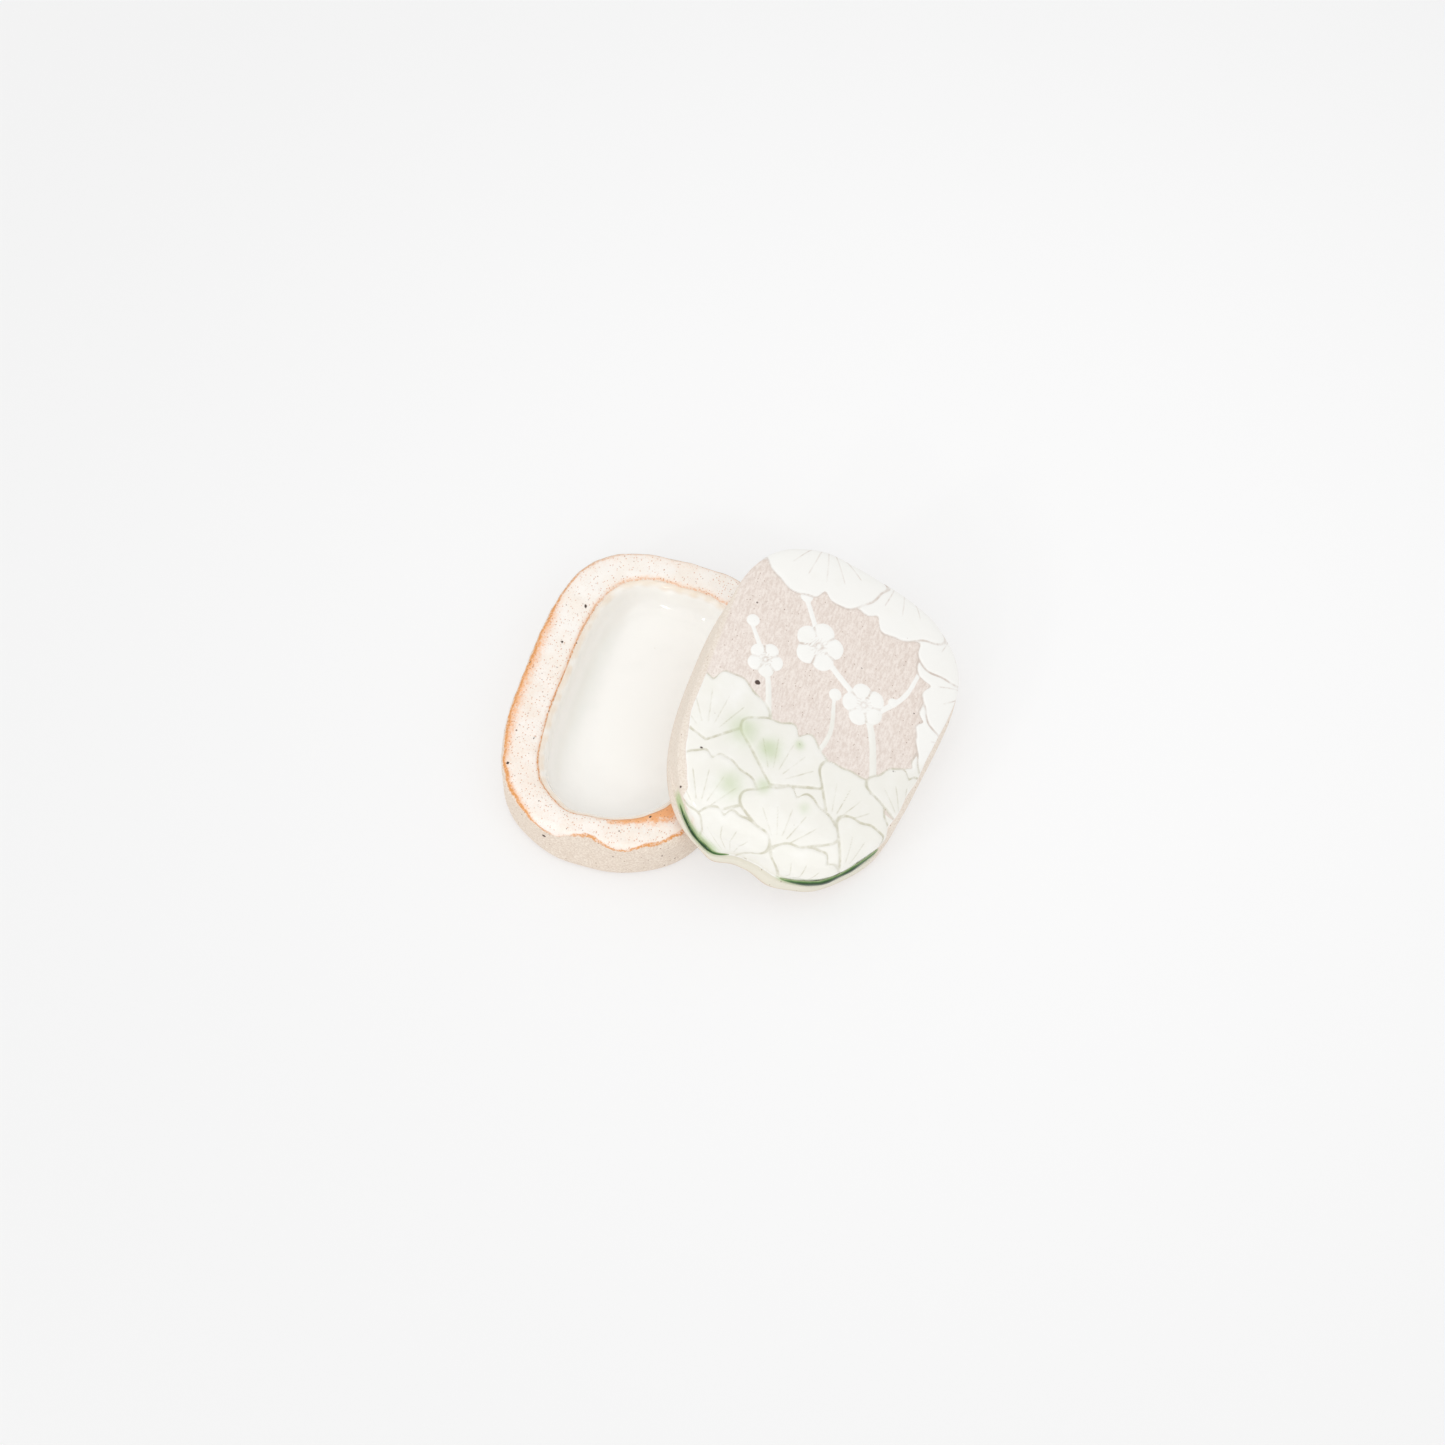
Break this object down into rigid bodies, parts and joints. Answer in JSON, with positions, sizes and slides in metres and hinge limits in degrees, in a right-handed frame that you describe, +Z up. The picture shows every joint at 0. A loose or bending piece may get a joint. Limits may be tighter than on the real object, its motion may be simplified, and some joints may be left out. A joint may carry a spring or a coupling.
{
  "type": "ceramic incense box",
  "caption": "Small lidded stoneware incense box with a glazed well, open, with its domed relief lid leaning on the base.",
  "frame": {"origin": "on the table, under the middle of the base", "axes": "+Z up, +Y along the base to its far end, +X across the base towards the leaning lid"},
  "size_m": [0.0829, 0.0698, 0.0291],
  "materials": {
    "stoneware": "matte, speckled with iron",
    "well_glaze": "glossy",
    "green_glaze": "glossy, dark where it pools"
  },
  "bodies": {
    "base": {"base_body": "stoneware", "base_well_glaze": "well_glaze"},
    "lid": {"lid_body": "stoneware", "lid_hollow_glaze": "well_glaze", "lid_glaze_pool_left": "green_glaze", "lid_glaze_pool_near": "green_glaze"}
  },
  "joints": [
    {"name": "lid_lift", "type": "slide", "parent": "base", "child": "lid", "axis": [0, 0, 1], "range_m": [0, 0.045]}
  ]
}
